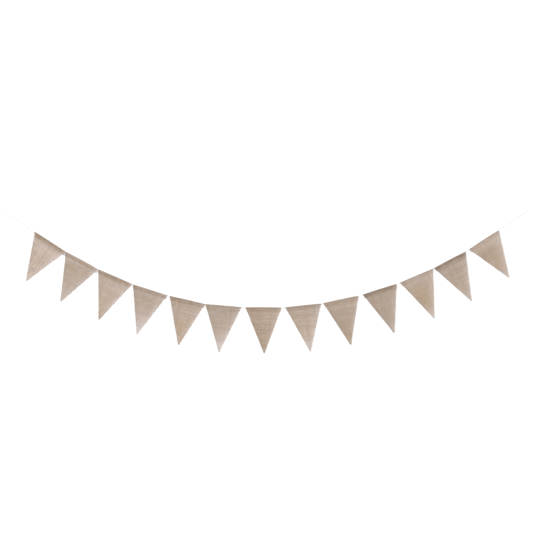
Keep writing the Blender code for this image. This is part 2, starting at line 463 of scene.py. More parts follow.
# The pennants
# Thirteen pieces of natural hessian, a plain weave of single jute yarns about 2.4 mm apart. Each is cut to a
# point, its top edge is folded to the back over the string, and its cut sides are left raw.
#
# start: where the fold begins along the string. width: along the fold. drop: fold to tip.
# shift: the tip from the fold's middle, to the right. flap_l, flap_r: how far the folded part shows past the
# slanted sides at its lower edge. side_l, side_r: how far a slanted side stands out below the fold.
# crown: rise of the fold's middle. bow: swell towards the front. lean: the tip towards the back.
# turn: the right side towards the front.
COLUMNS = "start width drop shift flap_l flap_r side_l side_r crown bow lean turn".split()
PENNANTS = [
    (203.5, 140.5, 177, 4.75, 0.0, 6.4, -0.5, 1.0, 0.4, 5.0, 1.0, -3.0),
    (346, 141, 177, 3, 4.4, 5.2, 0.0, 0.0, 1.5, 3.5, -2.0, 1.0),
    (489, 141, 176, 7, 1.4, 2.2, 0.2, 0.0, 0.8, 4.0, 2.0, -2.0),
    (634, 138, 178, 4, 2.2, 4.8, 0.0, 0.0, 0.4, 4.5, -1.0, 2.0),
    (782, 139, 176, 6, 0.0, 3.8, -0.6, 0.0, 0.9, 3.5, 1.0, 0.0),
    (924, 138, 178, -2, 2.4, 0.8, 0.0, 0.0, 0.5, 3.0, -3.0, -1.5),
    (1079, 138, 176, 4, 0.9, 2.1, 0.0, 0.0, 0.8, 3.0, 0.0, 1.0),
    (1233, 137, 179, 9, 1.5, 1.7, 0.0, 0.0, 0.6, 4.0, 2.0, -2.5),
    (1380, 138, 178, 1, 1.3, 1.0, 0.0, 0.0, 0.8, 5.0, -1.0, 1.5),
    (1536, 136, 177, 3, 2.6, 1.4, 0.0, 0.0, 0.7, 4.0, 1.5, -1.0),
    (1687, 138, 177, -2, 2.6, 0.0, 0.0, -0.7, 0.5, 4.5, -2.0, 2.0),
    (1829, 137, 178, 0.5, 1.4, 1.0, 0.0, 0.0, 0.9, 4.0, 2.5, -1.5),
    (1982.5, 136.0, 173, 2.25, 3.4, 1.0, -0.6, -0.6, 1.2, 5.5, -1.0, 3.0),
]
FOLD_TOP = 3.15 * MM
BAND = 17.0 * MM
CLOTH_TOP = -(BAND + 1.2 * MM)
TIP_CUT = 3.0 * MM
LAYER = 0.85 * MM
BOW_FROM = 10.0 * MM
BOW_FULL = 70.0 * MM
SIDE_FULL = 42.0 * MM
SIDE_ENDS = 68.0 * MM

# Half the cloth's section in mm, from the top of the fold down one side of the string: (away, below)
HALF_SECTION = [(0.0, -2.55), (1.8, -1.8), (2.55, 0.0), (2.5, 3.0), (2.1, 5.6), (1.25, 8.2), (0.88, 11.0)]
STRAIGHT_BELOW = (18 * MM, 30 * MM, 60 * MM, 120 * MM)
NARROWEST = 12.0 * MM
GUIDE_MARGIN = 5.5 * MM
GUIDE_COLUMNS = 33
FINE_STEP = 0.8 * MM
FINE_TO = 20 * MM
BODY_STEP = 3.0 * MM
FRONT_READS = 400
FLAP_READS = 100

# The weave
# The sizes of the yarns and of what stands out of them. Hairs are per square metre.
WEAVE_SIZES = {
    "Top": CLOTH_TOP,
    "Pitch": 2.4 * MM,
    "Yarn width": 1.62 * MM,
    "Yarn thickness": 0.6 * MM,
    "Crimp": 0.3 * MM,
    "Wander": 0.34 * MM,
    "Cut end": 1.0 * MM,
    "Tip end": 2.8 * MM,
    "Loose left": 1.4 * MM,
    "Loose right": 2.4 * MM,
    "Shortest yarn": 3.0 * MM,
    "Hairs": 22000.0,
    "Hair length": 5.0 * MM,
    "Fray length": 1.6 * MM,
}
FRINGE_LEFT = 1.2 * MM
FRINGE_RIGHT = 1.6 * MM
FRINGE_FULL = 30.0 * MM
YARN_SIDES = 4

# The shapes of the loose fibres, in shares of their length, and how much the lengths vary
FRAY_FIBRES = 5
FRAY_SPREAD = (0.55, 0.55, 0.55)
FRAY_RADIUS = 0.03
FRAY_LENGTHS = (0.5, 1.4)
HAIR_BEND = {"Start": (0.0, 0.0, 0.0), "Middle": (0.3, 0.0, 0.5), "End": (0.0, 0.2, 1.0), "Resolution": 3}
HAIR_WAYS = (1.0, 0.45, 1.0)
HAIR_RADIUS = 0.009
HAIR_LENGTHS = (0.5, 1.3)

# How unruly the yarns are. A rate is in changes per metre along a yarn, and apart is the step from one yarn
# to the next. The taper, the reach and the stub are shares of the pitch, the others of the thickness or of
# the part that stands out past the cut.
WANDER_RATE = 45.0
WANDER_APART = 0.8
THICK_RATE = 70.0
THICK_APART = 5.3
THICK_CHANGE = 0.2
THICK_SPREAD = 0.24
THINNEST_YARN = 0.88
END_TAPER = 0.6
END_THICKNESS = 0.75
END_REACH = 0.78
STUB = 0.4
ASTRAY = 0.5
CURL = 0.7

# Fixed seeds, added to the number of the pennant
LENGTHWISE_SEED = 500.0
WANDER_SEED = 77.0
LEFT_END_SEED = 11.0
RIGHT_END_SEED = 12.0
ASTRAY_SEED = 21.0
CURL_SEED = 22.0
SHADE_SEED = 31.0
FRAY_SEED = 40.0

# Added to the number of a yarn for its far end, so that its two ends fray differently
FAR_ENDS = 500.0

# The hang of the cloth
# Soft waves over the body of each pennant, and the few creases that show.
WAVE_HEIGHT = 0.55 * MM
WAVE_LENGTHS = (44 * MM, 61 * MM, 83 * MM)
CREASE_COLUMNS = ("pennant", "from_across", "from_down", "to_across", "to_down", "width", "height")
CREASES = [
    (1, 8, 36, 40, 30, 14, 1.6),
    (1, -10, 70, 34, 62, 11, -0.9),
    (1, -14, 96, 6, 128, 10, 0.8),
    (2, -30, 40, 20, 52, 12, -0.9),
    (2, -6, 84, 12, 120, 10, 0.8),
    (3, 10, 40, 20, 96, 11, 0.9),
    (4, -24, 44, 12, 88, 12, -0.8),
    (4, 6, 104, 10, 150, 8, 0.8),
    (5, -20, 36, -2, 110, 12, 0.9),
    (6, 12, 60, 22, 84, 12, 0.9),
    (6, -20, 40, -14, 90, 10, -0.8),
    (7, -18, 60, 18, 66, 12, -0.8),
    (8, 14, 36, 18, 92, 12, 0.9),
    (8, -14, 50, -2, 110, 12, -0.8),
    (9, -28, 46, -4, 118, 10, 0.9),
    (10, 6, 52, 16, 110, 12, 0.8),
    (11, -16, 44, 14, 60, 12, 0.9),
    (11, -8, 96, 8, 130, 10, -0.8),
    (12, -22, 64, 28, 40, 11, 1.3),
    (12, -6, 108, 14, 92, 10, 0.8),
    (13, -24, 58, 16, 74, 13, 1.0),
    (13, 2, 104, 16, 140, 9, -0.8),
]


def half_section(drop):
    """One side of the section as a smooth line, on past the tip by the guide's margin."""
    round_string = [(away * MM, below * MM) for away, below in HALF_SECTION]
    down = [*STRAIGHT_BELOW, drop - FOLD_TOP + GUIDE_MARGIN]
    return SmoothLine(round_string + [(LAYER, below) for below in down])


def cut_sides(size, fall, on_flap):
    """Where the cut sides are, left and right of the fold's middle, at this distance below the fold's top."""
    share = fall / (size["drop"] + TIP_CUT)
    half = size["width"] / 2
    near_fold = 1 - smoothstep(SIDE_FULL, SIDE_ENDS, fall)
    left = -half + (half + size["shift"]) * share - size["side_l"] * near_fold
    right = half - (half - size["shift"]) * share + size["side_r"] * near_fold
    left = left - np.where(on_flap, size["flap_l"] * fall / BAND, 0.0)
    right = right + np.where(on_flap, size["flap_r"] * fall / BAND, 0.0)
    return left, right


def relief(number, across, down):
    """How far the waves and creases of one pennant stand towards the front."""
    random = np.random.default_rng(number)
    height = np.zeros(np.broadcast(across, down).shape)
    for length in WAVE_LENGTHS:
        turn, phase = random.uniform(0, math.tau, 2)
        way = across * math.cos(turn) + down * math.sin(turn)
        height += WAVE_HEIGHT / len(WAVE_LENGTHS) * np.sin(math.tau * way / length + phase)
    for row in CREASES:
        crease = dict(zip(CREASE_COLUMNS, [row[0]] + [value * MM for value in row[1:]]))
        if crease["pennant"] != number:
            continue
        reach = crease["to_across"] - crease["from_across"], crease["to_down"] - crease["from_down"]
        steps = across - crease["from_across"], down - crease["from_down"]
        share = (steps[0] * reach[0] + steps[1] * reach[1]) / (reach[0] ** 2 + reach[1] ** 2)
        share = np.clip(share, 0, 1)
        apart = np.hypot(steps[0] - share * reach[0], steps[1] - share * reach[1])
        height += crease["height"] * np.exp(-((apart / crease["width"]) ** 2))
    return height * smoothstep(BAND, BOW_FULL, down)


def hung(number, size, section, place, across, down):
    """Where a point of the cloth hangs: across from the fold's middle, down from its top, flap below 0."""
    middle, along, fall_line = place
    away, below = np.moveaxis(section.at(np.abs(down)), -1, 0)
    on_flap = down < 0
    fall = below + FOLD_TOP
    left, right = cut_sides(size, fall, on_flap)
    share = (across - (left + right) / 2) / np.maximum(right - left, NARROWEST)
    belly = 1 - 4 * share**2
    depth = fall / size["drop"]
    swell = size["bow"] * smoothstep(BOW_FROM, BOW_FULL, fall) * (right - left) / size["width"]
    turned = size["turn"] * share * 4 * depth * (1 - depth) * smoothstep(0, BAND, fall)
    back = np.where(on_flap, away, -away) - swell * belly - turned + size["lean"] * depth**2
    back -= relief(number, across, down)
    lower = below - size["crown"] * belly * (1 - depth)
    flat = middle + along * across[..., None] + fall_line * lower[..., None]
    return np.stack([flat[..., 0], back, flat[..., 1]], axis=-1)


def rows_down(section):
    """The distances down the cloth at which the guide has a row, close together round the fold."""
    fine = np.arange(CLOTH_TOP - GUIDE_MARGIN, FINE_TO, FINE_STEP)
    body = np.arange(FINE_TO, section.length - BODY_STEP / 2, BODY_STEP)
    return np.concatenate([fine, body, [section.length]])


def crossed_at(across, left, right, down):
    """How far down the cut passes this place across, from the sides read at rising distances down."""
    return np.minimum(np.interp(across, left, down), np.interp(-across, -right, down))


def pennant_guide(number, size):
    """The smooth sheet that the yarns follow, a little larger than the cut, with its flat sizes on it."""
    section = half_section(size["drop"])
    left_end = string_line.at(size["start"])
    right_end = string_line.at(size["start"] + size["width"])
    along = (right_end - left_end) / np.linalg.norm(right_end - left_end)
    place = ((left_end + right_end) / 2, along, np.array([along[1], -along[0]]))
    down = rows_down(section)
    fall = section.at(np.abs(down))[:, 1] + FOLD_TOP
    left, right = cut_sides(size, fall, down < 0)
    share = np.linspace(0, 1, GUIDE_COLUMNS)
    reach = right - left + 2 * GUIDE_MARGIN
    across = (left - GUIDE_MARGIN)[:, None] + reach[:, None] * share
    downs = np.broadcast_to(down[:, None], across.shape)
    points = hung(number, size, section, place, across, downs)

    bottom = section.length - GUIDE_MARGIN
    front = np.linspace(0, bottom, FRONT_READS)
    front_sides = cut_sides(size, section.at(front)[:, 1] + FOLD_TOP, False)
    flap = np.linspace(0, -CLOTH_TOP, FLAP_READS)
    flap_sides = cut_sides(size, section.at(flap)[:, 1] + FOLD_TOP, True)
    frayed_out = smoothstep(0, FRINGE_FULL, front_sides[1] - front_sides[0])
    inner_sides = (front_sides[0] + FRINGE_LEFT * frayed_out, front_sides[1] - FRINGE_RIGHT * frayed_out)
    ends = (-crossed_at(across, *flap_sides, flap), crossed_at(across, *inner_sides, front))

    rows, columns = across.shape
    corner = np.arange(rows * columns).reshape(rows, columns)
    faces = np.stack([corner[1:, :-1], corner[1:, 1:], corner[:-1, 1:], corner[:-1, :-1]], axis=-1)
    mesh = bpy.data.meshes.new("guide")
    mesh.from_pydata(points.reshape(-1, 3).tolist(), [], faces.reshape(-1, 4).tolist())
    mesh.shade_smooth()
    flat = np.stack([across, downs], axis=-1).reshape(-1, 2)
    corners = np.zeros(len(mesh.loops), int)
    mesh.loops.foreach_get("vertex_index", corners)
    mesh.uv_layers.new(name="flat").uv.foreach_set("vector", flat[corners].ravel())
    side_rows = np.broadcast_to(np.stack([left, right], axis=-1)[:, None, :], (*across.shape, 2))
    # The tint holds the jute's own tone together with painted shade and painted light
    kept = {
        "sides": side_rows,
        "ends": np.stack(ends, axis=-1),
        "tint": np.stack(tone(number, across, downs, left[:, None], right[:, None]), axis=-1),
    }
    for word, given in kept.items():
        values = np.zeros((rows * columns, 3))
        values[:, : given.shape[-1]] = given.reshape(rows * columns, -1)
        mesh.attributes.new(word, "FLOAT_VECTOR", "POINT").data.foreach_set("vector", values.ravel())
    area = float(np.trapz(front_sides[1] - front_sides[0], front))
    area += float(np.trapz(flap_sides[1] - flap_sides[0], flap))
    wide = max(size["width"], float((flap_sides[1] - flap_sides[0]).max()))
    return mesh, (wide, bottom - CLOTH_TOP), area


def on_cloth_group():
    """Reads the guide: from a place on the flat cloth to that place when hung, and its outward side."""
    sockets = [("Cloth", "NodeSocketGeometry"), ("Flat place", "NodeSocketVector")]
    words = ("Place", "Outward", "Sides", "Ends", "Tint")
    outputs = [(word, "NodeSocketVector") for word in words] + [("On it", "NodeSocketBool")]
    tree, given, made = new_tree("on the cloth", "GeometryNodeTree", sockets, outputs)
    values = [shape(tree, "InputPosition"), shape(tree, "InputNormal")]
    values += [named(tree, word, "FLOAT_VECTOR") for word in ("sides", "ends", "tint")]
    inputs = {"Mesh": given["Cloth"], "Sample UV": given["Flat place"]}
    inputs["UV Map"] = named(tree, "flat", "FLOAT_VECTOR")
    for word, value in zip(words, values):
        inputs["Value"] = value
        read = add_node(tree, "GeometryNodeSampleUVSurface", inputs, data_type="FLOAT_VECTOR").outputs
        tree.links.new(read[0], made[word])
    tree.links.new(read[1], made["On it"])
    return tree


ON_CLOTH = on_cloth_group()


def on_cloth(tree, cloth, flat):
    """The guide read at a place on the flat cloth."""
    inputs = {"Cloth": cloth, "Flat place": flat}
    return add_node(tree, "GeometryNodeGroup", inputs, node_tree=ON_CLOTH).outputs


def laid_on(tree, curves, read, lift):
    """The curves laid on the hung cloth where it was read, and lifted off it to its outward side."""
    place = arrows(tree, "ADD", read["Place"], scaled(tree, read["Outward"], lift))
    return shape(tree, "SetPosition", {"Geometry": curves, "Position": place})


def without(tree, geometry, gone, what):
    """The geometry without the points or the curves that are gone."""
    return shape(tree, "DeleteGeometry", {"Geometry": geometry, "Selection": gone}, domain=what)


def noise_at(tree, place, detail=1.0):
    """Smooth noise about 0, mostly from -1 to 1."""
    inputs = {"Vector": place, "Scale": 1.0, "Detail": detail}
    return times(tree, minus(tree, add_node(tree, "ShaderNodeTexNoise", inputs).outputs[0], 0.5), 3.0)


def chance(tree, low, high, number, seed):
    """A random value for each number."""
    inputs = {2: low, 3: high, 7: number, 8: seed}
    return add_node(tree, "FunctionNodeRandomValue", inputs, data_type="FLOAT").outputs[1]


def random_way(tree, reach, number, seed):
    """A random vector for each number, as far as that reach to either side."""
    inputs = {0: tuple(-value for value in reach), 1: reach, 7: number, 8: seed}
    return add_node(tree, "FunctionNodeRandomValue", inputs, data_type="FLOAT_VECTOR").outputs[0]


def loose_end(tree, number, seed, longest):
    """How far a yarn stands out past the cut: mostly a little, and seldom as much as the longest."""
    return times(tree, figure(tree, "POWER", chance(tree, 0.0, 1.0, number, seed), 3.0), longest)


def seed_of(tree, given, lengthwise):
    """The seed of the yarns of one direction."""
    return plus(tree, given["Seed"], LENGTHWISE_SEED if lengthwise else 0.0)


def crossings(tree, given, lengthwise):
    """The yarns of one direction laid out flat, with a point where each crosses one of the others."""
    columns, rows, pitch = given["Columns"], given["Rows"], given["Pitch"]
    many, others = (rows, columns) if lengthwise else (columns, rows)
    line = shape(tree, "ResampleCurve", {"Curve": shape(tree, "CurvePrimitiveLine"), "Count": many})
    starts = shape(tree, "MeshLine", {"Count": others})
    curves = shape(tree, "InstanceOnPoints", {"Points": starts, "Instance": line})
    curves = shape(tree, "RealizeInstances", {"Geometry": curves})
    curve_of = tree.nodes.new("GeometryNodeCurveOfPoint").outputs
    curves = keep(tree, curves, "number", curve_of["Curve Index"])
    curves = keep(tree, curves, "crossing", curve_of["Index in Curve"])
    number, crossing = named(tree, "number"), named(tree, "crossing")
    column, row = (number, crossing) if lengthwise else (crossing, number)

    half = times(tree, minus(tree, columns, 1.0), 0.5)
    across = times(tree, minus(tree, column, half), pitch)
    down = times_plus(tree, plus(tree, row, 0.5), pitch, given["Top"])
    slow_down, slow_across = times(tree, down, WANDER_RATE), times(tree, across, WANDER_RATE)
    place = arrow(tree, times(tree, column, WANDER_APART), slow_down, given["Seed"])
    across = times_plus(tree, noise_at(tree, place), given["Wander"], across)
    seed = plus(tree, given["Seed"], WANDER_SEED)
    place = arrow(tree, slow_across, times(tree, row, WANDER_APART), seed)
    down = times_plus(tree, noise_at(tree, place), given["Wander"], down)
    curves = keep(tree, curves, "flat_at", arrow(tree, across, down, 0.0), "FLOAT_VECTOR")
    return curves, number, crossing


def yarns(tree, given, lengthwise):
    """The yarns of one direction, over and under those of the other, each cut where the cloth is."""
    pitch = given["Pitch"]
    seed = seed_of(tree, given, lengthwise)
    curves, number, crossing = crossings(tree, given, lengthwise)
    flat_at = named(tree, "flat_at", "FLOAT_VECTOR")
    across, down, _ = parts_of(tree, flat_at)
    read = on_cloth(tree, given["Cloth"], flat_at)
    limits = parts_of(tree, read["Ends"] if lengthwise else read["Sides"])
    loose_low = loose_end(tree, number, plus(tree, seed, LEFT_END_SEED), given["Loose left"])
    loose_high = loose_end(tree, number, plus(tree, seed, RIGHT_END_SEED), given["Loose right"])
    low = minus(tree, limits[0], loose_low)
    high = plus(tree, limits[1], plus(tree, loose_high, given["Tip end" if lengthwise else "Cut end"]))
    value = down if lengthwise else across
    slack = times(tree, pitch, END_REACH)
    before = figure(tree, "LESS_THAN", value, minus(tree, low, slack))
    after = figure(tree, "GREATER_THAN", value, plus(tree, high, slack))
    gone = plus(tree, plus(tree, before, after), minus(tree, 1.0, read["On it"]))
    if lengthwise:
        reach = minus(tree, limits[1], limits[0])
        gone = plus(tree, gone, figure(tree, "LESS_THAN", reach, given["Shortest yarn"]))
    held = figure(tree, "MINIMUM", figure(tree, "MAXIMUM", value, low), high)
    curves = keep(tree, curves, "gone", gone)
    past = figure(tree, "MAXIMUM", minus(tree, held, limits[1]), minus(tree, limits[0], held))
    curves = keep(tree, curves, "past_cut", figure(tree, "MAXIMUM", past, 0.0))
    astray = chance(tree, -ASTRAY, ASTRAY, number, plus(tree, seed, ASTRAY_SEED))
    astray = times(tree, named(tree, "past_cut"), astray)
    if lengthwise:
        flat = arrow(tree, plus(tree, across, astray), held, given["Seed"])
    else:
        flat = arrow(tree, held, plus(tree, down, astray), given["Seed"])
    curves = keep(tree, curves, "flat_at", flat, "FLOAT_VECTOR")
    curves = without(tree, curves, figure(tree, "GREATER_THAN", named(tree, "gone"), 0.5), "POINT")

    read = on_cloth(tree, given["Cloth"], flat_at)
    side = times(tree, plus(tree, number, crossing), 0.5)
    over = minus(tree, times(tree, figure(tree, "FRACT", side), 4.0), 1.0)
    lift = times(tree, over, given["Crimp"])
    if lengthwise:
        lift = times(tree, lift, -1.0)
    curl = chance(tree, -CURL, CURL, number, plus(tree, seed, CURL_SEED))
    lift = plus(tree, lift, times(tree, named(tree, "past_cut"), curl))
    curves = keep(tree, curves, "outward", read["Outward"], "FLOAT_VECTOR")
    curves = keep(tree, curves, "tint", read["Tint"], "FLOAT_VECTOR")
    curves = laid_on(tree, curves, read, lift)
    stub = figure(tree, "LESS_THAN", shape(tree, "SplineLength"), times(tree, pitch, STUB))
    curves = measured(tree, without(tree, curves, stub, "CURVE"))
    return keep(tree, curves, "yarn", chance(tree, 0.0, 1.0, number, plus(tree, seed, SHADE_SEED)))


def spun_yarns(tree, given, curves, lengthwise):
    """The yarns as flattened strands of uneven thickness, drawn in a little where they are cut."""
    inputs = {"Curve": curves, "Normal": named(tree, "outward", "FLOAT_VECTOR")}
    curves = shape(tree, "SetCurveNormal", inputs, mode="FREE")
    run = named(tree, "along")
    apart = times(tree, named(tree, "number"), THICK_APART)
    place = arrow(tree, times(tree, run, THICK_RATE), apart, seed_of(tree, given, lengthwise))
    thick = times_plus(tree, noise_at(tree, place, 2.0), THICK_CHANGE, 1.0)
    thick = times(tree, thick, times_plus(tree, named(tree, "yarn"), THICK_SPREAD, THINNEST_YARN))
    to_end = figure(tree, "MINIMUM", run, minus(tree, shape(tree, "SplineLength"), run))
    inputs = {0: to_end, 1: 0.0, 2: times(tree, given["Pitch"], END_TAPER), 3: END_THICKNESS, 4: 1.0}
    thick = times(tree, thick, add_node(tree, "ShaderNodeMapRange", inputs).outputs[0])
    halves = [times(tree, given[word], 0.5) for word in ("Yarn thickness", "Yarn width")]
    profile = {"Geometry": ring(tree, YARN_SIDES), "Scale": arrow(tree, *halves, 1.0)}
    inputs = {"Curve": curves, "Profile Curve": shape(tree, "Transform", profile)}
    return shape(tree, "CurveToMesh", {**inputs, "Scale": thick, "Fill Caps": True})


def fine_fibre(tree, line, radius):
    """A thin fibre along a line, three-sided in section."""
    circle = shape(tree, "CurvePrimitiveCircle", {"Resolution": 3, "Radius": radius})
    return shape(tree, "CurveToMesh", {"Curve": line, "Profile Curve": circle})


def planted(tree, inputs, way, length):
    """One of the fibres on each of the points, pointing that way and of that length."""
    turn = add_node(tree, "FunctionNodeAlignRotationToVector", {"Vector": way}, axis="Z").outputs[0]
    scale = arrow(tree, length, length, length)
    return shape(tree, "InstanceOnPoints", {**inputs, "Rotation": turn, "Scale": scale})


def frayed(tree, given, curves):
    """The fibres that spread out of the yarns where they are cut."""
    line = shape(tree, "CurvePrimitiveLine", {"Start": (0.0, 0.0, -0.5), "End": (0.0, 0.0, 1.0)})
    factor = tree.nodes.new("GeometryNodeSplineParameter").outputs["Factor"]
    at_end = figure(tree, "GREATER_THAN", factor, 0.5)
    straight = scaled(tree, shape(tree, "InputTangent"), times_plus(tree, at_end, 2.0, -1.0))
    number = times_plus(tree, at_end, FAR_ENDS, named(tree, "number"))
    cut = shape(tree, "CurveEndpointSelection", {"Start Size": 1, "End Size": 1})
    inputs = {"Points": curves, "Selection": cut, "Instance": fine_fibre(tree, line, FRAY_RADIUS)}
    tufts = tree.nodes.new("GeometryNodeJoinGeometry")
    for turn in range(FRAY_FIBRES):
        seed = plus(tree, given["Seed"], FRAY_SEED + turn)
        way = arrows(tree, "ADD", straight, random_way(tree, FRAY_SPREAD, number, seed))
        length = times(tree, given["Fray length"], chance(tree, *FRAY_LENGTHS, number, seed))
        tree.links.new(planted(tree, inputs, way, length), tufts.inputs[0])
    return tufts.outputs[0]


def hairs(tree, given):
    """Fine loose fibres that stand out of the yarns on both faces of the cloth."""
    inputs = {"Mesh": given["Cloth"], "Density": given["Hairs"], "Seed": given["Seed"]}
    spots = shape(tree, "DistributePointsOnFaces", inputs)
    across, down, _ = parts_of(tree, named(tree, "flat", "FLOAT_VECTOR"))
    left, right, _ = parts_of(tree, named(tree, "sides", "FLOAT_VECTOR"))
    top, _, _ = parts_of(tree, named(tree, "ends", "FLOAT_VECTOR"))
    too_low, too_high = figure(tree, "LESS_THAN", across, left), figure(tree, "GREATER_THAN", across, right)
    outside = plus(tree, plus(tree, too_low, too_high), figure(tree, "LESS_THAN", down, top))
    spots = without(tree, spots, figure(tree, "GREATER_THAN", outside, 0.5), "POINT")
    hair = fine_fibre(tree, shape(tree, "CurveQuadraticBezier", HAIR_BEND), HAIR_RADIUS)
    index = shape(tree, "InputIndex")
    way = random_way(tree, HAIR_WAYS, index, given["Seed"])
    length = times(tree, given["Hair length"], chance(tree, *HAIR_LENGTHS, index, given["Seed"]))
    return planted(tree, {"Points": spots, "Instance": hair}, way, length)


def weave_tree(name, only_fibres):
    """Plain weave, two sets of yarns on the guide, each over and under the other, or its loose fibres."""
    tree, given, made = shape_tree(name, "Cloth", WEAVE_SIZES, ("Columns", "Rows", "Seed"))
    join = tree.nodes.new("GeometryNodeJoinGeometry")
    for lengthwise in (False, True):
        curves = yarns(tree, given, lengthwise)
        part = frayed(tree, given, curves) if only_fibres else spun_yarns(tree, given, curves, lengthwise)
        tree.links.new(part, join.inputs[0])
    if only_fibres:
        tree.links.new(hairs(tree, given), join.inputs[0])
    return finished(tree, join.outputs[0], given, made)


# Jute is never one even shade, and this table also holds painted light and shade. For each pennant the first
# table says how much lighter than the usual it is, in percent, from the fold down to the tip, and how golden:
# 1 is clearly golden, below 0 paler and pinker. Part of it is the jute's own tone, which differs from pennant
# to pennant. Part is painted shade, mostly in the fold band where the cloth lies double round the string, and
# painted light, mostly towards the tip.
LIGHT_COLUMNS = ("fold", "band", "upper", "middle", "lower", "tip")
GOLD_COLUMNS = ("gold_band", "gold_upper", "gold_lower", "gold_tip")
TONES_AND_PAINTED_LIGHT = [
    (-4, 9, 25, 24, 20, 31, -0.2, -1.2, -0.4, -1.4),
    (13, 17, 1, 6, 15, 27, -1.0, 0.1, -0.5, -1.9),
    (-5, 2, 11, 14, 12, 10, 0.0, -0.6, 0.0, 0.0),
    (3, 6, -3, 7, 27, 56, -0.7, 0.2, -0.9, -3.8),
    (-14, 1, 1, 4, 8, 11, 0.1, 0.3, 0.6, -0.2),
    (-8, -2, -11, 1, 18, 47, -0.3, 0.3, -0.6, -3.2),
    (-14, -2, -7, -9, -9, -14, 0.4, 1.0, 1.4, 1.3),
    (-11, -6, -2, 4, 10, 34, 0.0, 0.2, -0.1, -2.9),
    (-8, -4, -7, -15, -11, -3, 0.1, 0.6, 1.3, 0.2),
    (-30, -27, -16, -15, -13, 3, 0.5, 0.5, 0.4, -1.4),
    (0, 8, -9, -4, -4, 30, -1.0, 0.8, 1.1, -2.5),
    (-27, -29, -12, -13, -6, 10, 0.6, 0.2, 0.4, -2.2),
    (5, 14, -8, -11, 0, 13, -1.0, 0.7, 0.5, -1.9),
]
TONE_DEPTHS = (3.0, 11.0, 34.0, 80.0, 125.0, 165.0)
GOLD_DEPTHS = (10.0, 40.0, 110.0, 165.0)
GOLD_TINT = (0.0, -0.045, -0.14)

# The places that are lighter or more golden than the cloth round them, in mm and percent. Some are the jute's
# own tone, and some are painted highlights and painted shade along small creases. The edges add painted light
# along the cut edge on the right, where the light comes through it, and painted shade along the one on the
# left.
PATCH_COLUMNS = ("pennant", "across", "down", "half_width", "half_depth", "lighter", "golden")
PATCHES = [
    (1, 0, 9, 30, 6, 5, -0.1),
    (1, 30, 38, 24, 12, 7, -0.5),
    (1, -24, 52, 20, 10, 5, -0.3),
    (1, 16, 25, 40, 6, -11, 0.1),
    (1, -20, 118, 8, 22, 6, -0.3),
    (2, -28, 45, 15, 13, -7, 2.0),
    (2, -46, 25, 16, 7, 6, -0.2),
    (2, 0, 30, 24, 8, -4, 0.1),
    (2, -10, 126, 12, 16, 7, -0.7),
    (3, 0, 9, 26, 6, 5, -0.1),
    (3, 16, 44, 24, 13, 6, -0.7),
    (3, -8, 124, 12, 22, 1, 0.4),
    (4, -4, 44, 20, 18, -6, 0.2),
    (4, 12, 104, 12, 14, 5, -0.6),
    (5, -52, 12, 14, 8, -8, 0.4),
    (5, -8, 25, 26, 7, -6, 0.3),
    (5, 36, 52, 14, 20, 5, -0.7),
    (5, -2, 116, 16, 30, 0, 1.1),
    (5, 26, 118, 9, 22, 2, -0.9),
    (6, -14, 19, 16, 2.5, 20, -0.8),
    (6, -2, 27, 24, 6, -8, 0.2),
    (6, -34, 17, 5, 2.5, -16, 0.0),
    (6, 40, 18, 14, 3, -8, 0.3),
    (6, -16, 80, 12, 26, -4, 0.1),
    (7, -48, 12, 16, 10, -5, 0.4),
    (7, -24, 30, 22, 9, -5, 0.4),
    (7, 0, 132, 14, 24, -4, 0.8),
    (8, -52, 12, 15, 8, -8, 0.2),
    (8, -14, 22, 7, 3, 12, 0.0),
    (8, 46, 36, 12, 22, 8, -1.3),
    (8, 4, 100, 12, 26, -1, 0.4),
    (8, 20, 126, 7, 14, -7, 0.3),
    (9, -12, 96, 14, 18, -6, 0.9),
    (9, 4, 136, 10, 22, -6, 1.3),
    (9, 44, 25, 16, 8, -4, 0.0),
    (10, 0, 10, 26, 7, -5, 0.0),
    (10, 48, 14, 16, 8, -6, 0.0),
    (10, -48, 14, 14, 8, -4, 0.4),
    (10, 4, 90, 12, 28, -5, 0.4),
    (10, -16, 124, 8, 16, 4, -0.2),
    (11, -6, 14, 34, 9, 6, -0.8),
    (11, -14, 62, 20, 24, -3, 0.8),
    (11, -2, 120, 12, 22, -5, 1.3),
    (12, 44, 14, 20, 10, -10, 0.0),
    (12, 18, 34, 22, 7, 6, -0.9),
    (12, -24, 48, 12, 14, 5, 0.0),
    (12, -2, 92, 14, 18, -6, 0.3),
    (12, 0, 126, 10, 16, -8, 0.9),
    (12, -18, 122, 7, 16, 8, -0.6),
    (13, 4, 9, 26, 6, 6, -0.4),
    (13, -48, 24, 14, 12, -12, 0.4),
    (13, -16, 58, 24, 26, -6, 1.5),
    (13, -10, 112, 11, 26, -6, 1.4),
    (13, 38, 44, 14, 30, 5, -0.6),
]
SHADED_EDGE = (16.0, -8.0, 0.3)
LIT_EDGE = (24.0, 15.0, -1.6)
EDGES_FULL = 70.0


